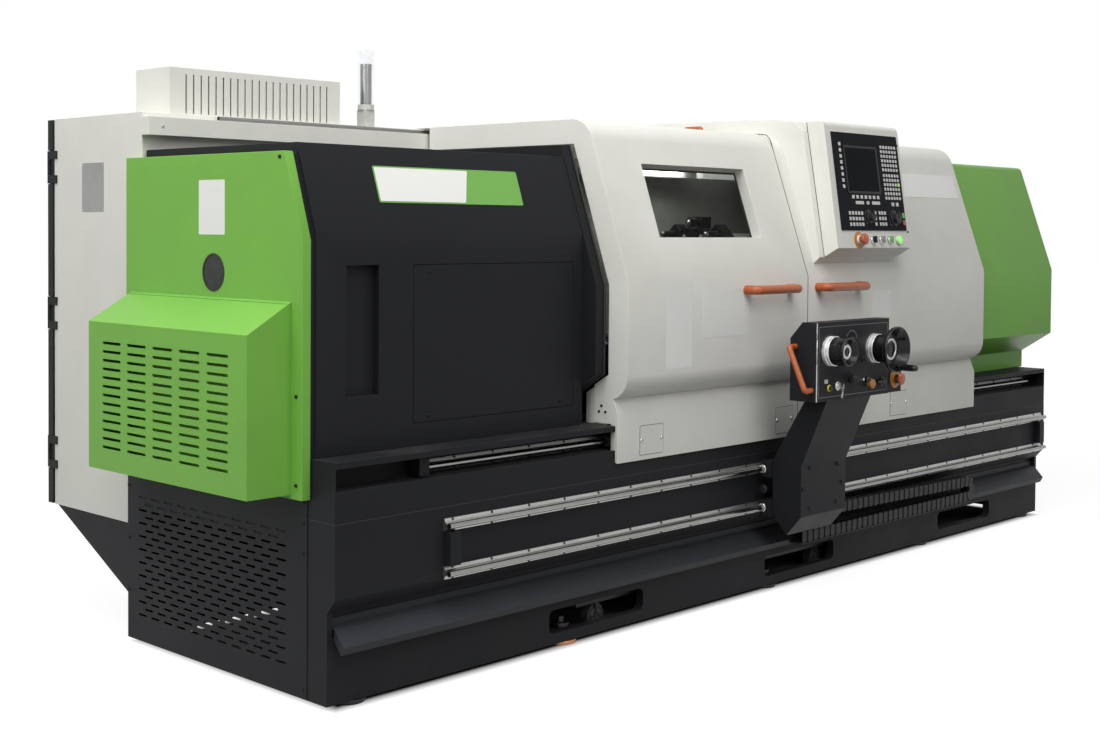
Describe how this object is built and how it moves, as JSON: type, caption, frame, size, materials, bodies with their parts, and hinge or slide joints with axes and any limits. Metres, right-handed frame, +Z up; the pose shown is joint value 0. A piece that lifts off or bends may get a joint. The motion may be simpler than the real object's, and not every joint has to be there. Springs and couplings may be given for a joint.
{
  "type": "engine lathe",
  "caption": "Enclosed engine lathe: long flat bed on a base, covered headstock, sliding doors, tailstock, turret, swung-out control panel and a travelling hand console.",
  "frame": {"origin": "middle of the footprint's bounding box, on the floor under the levelling feet", "axes": "+X along the bed from headstock to tailstock, +Y from the operator to the back, +Z up"},
  "size_m": [4.092, 1.9072, 1.831],
  "materials": {
    "base_frame": "satin",
    "end_grille": "satin",
    "bed_casting": "satin",
    "drip_tray": "satin",
    "headstock_cover": "satin",
    "access_panel": "satin",
    "end_frame": "satin",
    "cabinet_bracket": "satin",
    "levelling_feet": "satin",
    "door_rail": "satin",
    "console_rails": "satin",
    "rail_stops": "satin",
    "headstock_casting": "satin",
    "end_cover": "satin",
    "vent_box": "satin",
    "tail_cover": "satin",
    "front_sill": "satin",
    "guide_beam": "satin",
    "electrical_cabinet": "satin",
    "vent_unit": "satin",
    "rear_guard": "satin",
    "lamp_base": "satin",
    "lamp_lens": "clear",
    "spindle": "satin",
    "chuck_body": "satin",
    "chuck_jaw_1": "satin",
    "chuck_jaw_2": "satin",
    "chuck_jaw_3": "satin",
    "saddle": "satin",
    "cross_slide": "satin",
    "turret_disc": "satin",
    "tailstock": "satin",
    "quill": "satin",
    "left_door": "satin",
    "left_window": "clear",
    "left_handle": "satin",
    "right_door": "satin",
    "right_handle": "satin",
    "pod_neck": "satin",
    "pod_housing": "satin",
    "pod_panel": "satin",
    "panel_keys": "satin",
    "pod_estop": "satin",
    "pod_selector": "satin",
    "pod_key_switch": "satin",
    "pod_start_button": "satin",
    "pod_knob_left": "satin",
    "pod_knob_right": "satin",
    "console_arm": "satin",
    "console_box": "satin",
    "grab_handle": "satin",
    "handwheel_left": "satin",
    "handwheel_right": "satin",
    "crank_grip": "satin",
    "joystick": "satin",
    "console_estop": "satin",
    "drag_chain": "satin",
    "cabinet_door_left": "satin",
    "cabinet_door_right": "satin",
    "coolant_tank": "satin"
  },
  "bodies": {
    "machine": {"base_frame": "base_frame", "end_grille": "end_grille", "bed_casting": "bed_casting", "drip_tray": "drip_tray", "levelling_feet": "levelling_feet", "door_rail": "door_rail", "console_rails": "console_rails", "rail_stops": "rail_stops", "headstock_casting": "headstock_casting", "headstock_cover": "headstock_cover", "access_panel": "access_panel", "end_cover": "end_cover", "vent_box": "vent_box", "end_frame": "end_frame", "front_sill": "front_sill", "guide_beam": "guide_beam", "rear_guard": "rear_guard", "tail_cover": "tail_cover", "electrical_cabinet": "electrical_cabinet", "cabinet_bracket": "cabinet_bracket", "vent_unit": "vent_unit", "lamp_base": "lamp_base", "lamp_lens": "lamp_lens", "drag_chain": "drag_chain"},
    "left_door": {"left_door": "left_door", "left_window": "left_window", "left_handle": "left_handle"},
    "right_door": {"right_door": "right_door", "right_handle": "right_handle", "pod_neck": "pod_neck", "pod_housing": "pod_housing", "pod_panel": "pod_panel", "panel_keys": "panel_keys"},
    "console": {"console_arm": "console_arm", "console_box": "console_box", "grab_handle": "grab_handle"},
    "spindle": {"spindle": "spindle", "chuck_body": "chuck_body"},
    "jaw_1": {"chuck_jaw_1": "chuck_jaw_1"},
    "jaw_2": {"chuck_jaw_2": "chuck_jaw_2"},
    "jaw_3": {"chuck_jaw_3": "chuck_jaw_3"},
    "saddle": {"saddle": "saddle"},
    "cross_slide": {"cross_slide": "cross_slide"},
    "turret": {"turret_disc": "turret_disc"},
    "tailstock": {"tailstock": "tailstock"},
    "quill": {"quill": "quill"},
    "pod_estop": {"pod_estop": "pod_estop"},
    "pod_selector": {"pod_selector": "pod_selector"},
    "pod_key_switch": {"pod_key_switch": "pod_key_switch"},
    "pod_start_button": {"pod_start_button": "pod_start_button"},
    "pod_knob_left": {"pod_knob_left": "pod_knob_left"},
    "pod_knob_right": {"pod_knob_right": "pod_knob_right"},
    "handwheel_left": {"handwheel_left": "handwheel_left"},
    "handwheel_right": {"handwheel_right": "handwheel_right"},
    "crank_grip": {"crank_grip": "crank_grip"},
    "joystick": {"joystick": "joystick"},
    "console_estop": {"console_estop": "console_estop"},
    "cabinet_door_left": {"cabinet_door_left": "cabinet_door_left"},
    "cabinet_door_right": {"cabinet_door_right": "cabinet_door_right"},
    "coolant_tank": {"coolant_tank": "coolant_tank"}
  },
  "joints": [
    {"name": "left_door_slide", "type": "slide", "parent": "machine", "child": "left_door", "axis": [1, 0, 0], "range_m": [-0.7, 0]},
    {"name": "right_door_slide", "type": "slide", "parent": "machine", "child": "right_door", "axis": [1, 0, 0], "range_m": [0, 0.5]},
    {"name": "pod_estop_press", "type": "slide", "parent": "right_door", "child": "pod_estop", "axis": [0, 0.9888, -0.1495], "range_m": [0, 0.006], "stiffness_N_per_m": 600},
    {"name": "pod_selector_turn", "type": "hinge", "parent": "right_door", "child": "pod_selector", "pos_m": [0.438, -0.63101, 1.20367], "axis": [0, -0.9888, 0.1495], "range_deg": [-45, 45]},
    {"name": "pod_key_turn", "type": "hinge", "parent": "right_door", "child": "pod_key_switch", "pos_m": [0.493, -0.63101, 1.20367], "axis": [0, -0.9888, 0.1495], "range_deg": [0, 90]},
    {"name": "pod_start_press", "type": "slide", "parent": "right_door", "child": "pod_start_button", "axis": [0, 0.9888, -0.1495], "range_m": [0, 0.004], "stiffness_N_per_m": 400},
    {"name": "pod_knob_left_turn", "type": "hinge", "parent": "right_door", "child": "pod_knob_left", "pos_m": [0.426, -0.61905, 1.28277], "axis": [0, -0.9888, 0.1495], "range_deg": [-135, 135]},
    {"name": "pod_knob_right_turn", "type": "hinge", "parent": "right_door", "child": "pod_knob_right", "pos_m": [0.592, -0.61965, 1.27882], "axis": [0, -0.9888, 0.1495], "range_deg": [-135, 135]},
    {"name": "console_slide", "type": "slide", "parent": "machine", "child": "console", "axis": [1, 0, 0], "range_m": [-1.36, 1.72], "deforming": ["drag_chain"]},
    {"name": "handwheel_left_spin", "type": "hinge", "parent": "console", "child": "handwheel_left", "pos_m": [-0.074, -0.79535, 0.846], "axis": [0, -1, 0], "continuous": true},
    {"name": "handwheel_right_spin", "type": "hinge", "parent": "console", "child": "handwheel_right", "pos_m": [0.187, -0.79535, 0.842], "axis": [0, -1, 0], "continuous": true},
    {"name": "crank_grip_spin", "type": "hinge", "parent": "handwheel_right", "child": "crank_grip", "pos_m": [0.205, -0.79535, 0.782], "axis": [0, -1, 0], "continuous": true},
    {"name": "joystick_tilt", "type": "hinge", "parent": "console", "child": "joystick", "pos_m": [0.05, -0.80935, 0.749], "axis": [0, 0, 1], "range_deg": [-15, 15]},
    {"name": "console_estop_press", "type": "slide", "parent": "console", "child": "console_estop", "axis": [0, 1, 0], "range_m": [0, 0.006], "stiffness_N_per_m": 600},
    {"name": "spindle_spin", "type": "hinge", "parent": "machine", "child": "spindle", "pos_m": [-1.279, -0.02535, 1.11], "axis": [1, 0, 0], "continuous": true},
    {"name": "jaw_1_slide", "type": "slide", "parent": "spindle", "child": "jaw_1", "axis": [0, 0, 1], "range_m": [0, 0.008]},
    {"name": "jaw_2_slide", "type": "slide", "parent": "spindle", "child": "jaw_2", "axis": [0, -0.866, -0.5], "range_m": [0, 0.008]},
    {"name": "jaw_3_slide", "type": "slide", "parent": "spindle", "child": "jaw_3", "axis": [0, 0.866, -0.5], "range_m": [0, 0.008]},
    {"name": "saddle_slide", "type": "slide", "parent": "machine", "child": "saddle", "axis": [1, 0, 0], "range_m": [-0.8, 0.2]},
    {"name": "cross_feed", "type": "slide", "parent": "saddle", "child": "cross_slide", "axis": [0, 1, 0], "range_m": [-0.12, 0.06]},
    {"name": "turret_index", "type": "hinge", "parent": "cross_slide", "child": "turret", "pos_m": [0.437, 0.11065, 1.11], "axis": [1, 0, 0], "continuous": true},
    {"name": "tailstock_slide", "type": "slide", "parent": "machine", "child": "tailstock", "axis": [1, 0, 0], "range_m": [-0.1, 0.25]},
    {"name": "quill_feed", "type": "slide", "parent": "tailstock", "child": "quill", "axis": [-1, 0, 0], "range_m": [0, 0.12]},
    {"name": "cabinet_door_left_swing", "type": "hinge", "parent": "machine", "child": "cabinet_door_left", "pos_m": [-1.878, 0.93365, 0.912], "axis": [0, 0, 1], "range_deg": [0, 110]},
    {"name": "cabinet_door_right_swing", "type": "hinge", "parent": "machine", "child": "cabinet_door_right", "pos_m": [-0.68, 0.93365, 0.912], "axis": [0, 0, -1], "range_deg": [0, 110]},
    {"name": "coolant_tank_pull", "type": "slide", "parent": "machine", "child": "coolant_tank", "axis": [0, 1, 0], "range_m": [0, 0.85]}
  ],
  "couplings": [
    {"joint": "jaw_2_slide", "follows": "jaw_1_slide", "ratio": 1},
    {"joint": "jaw_3_slide", "follows": "jaw_1_slide", "ratio": 1}
  ]
}
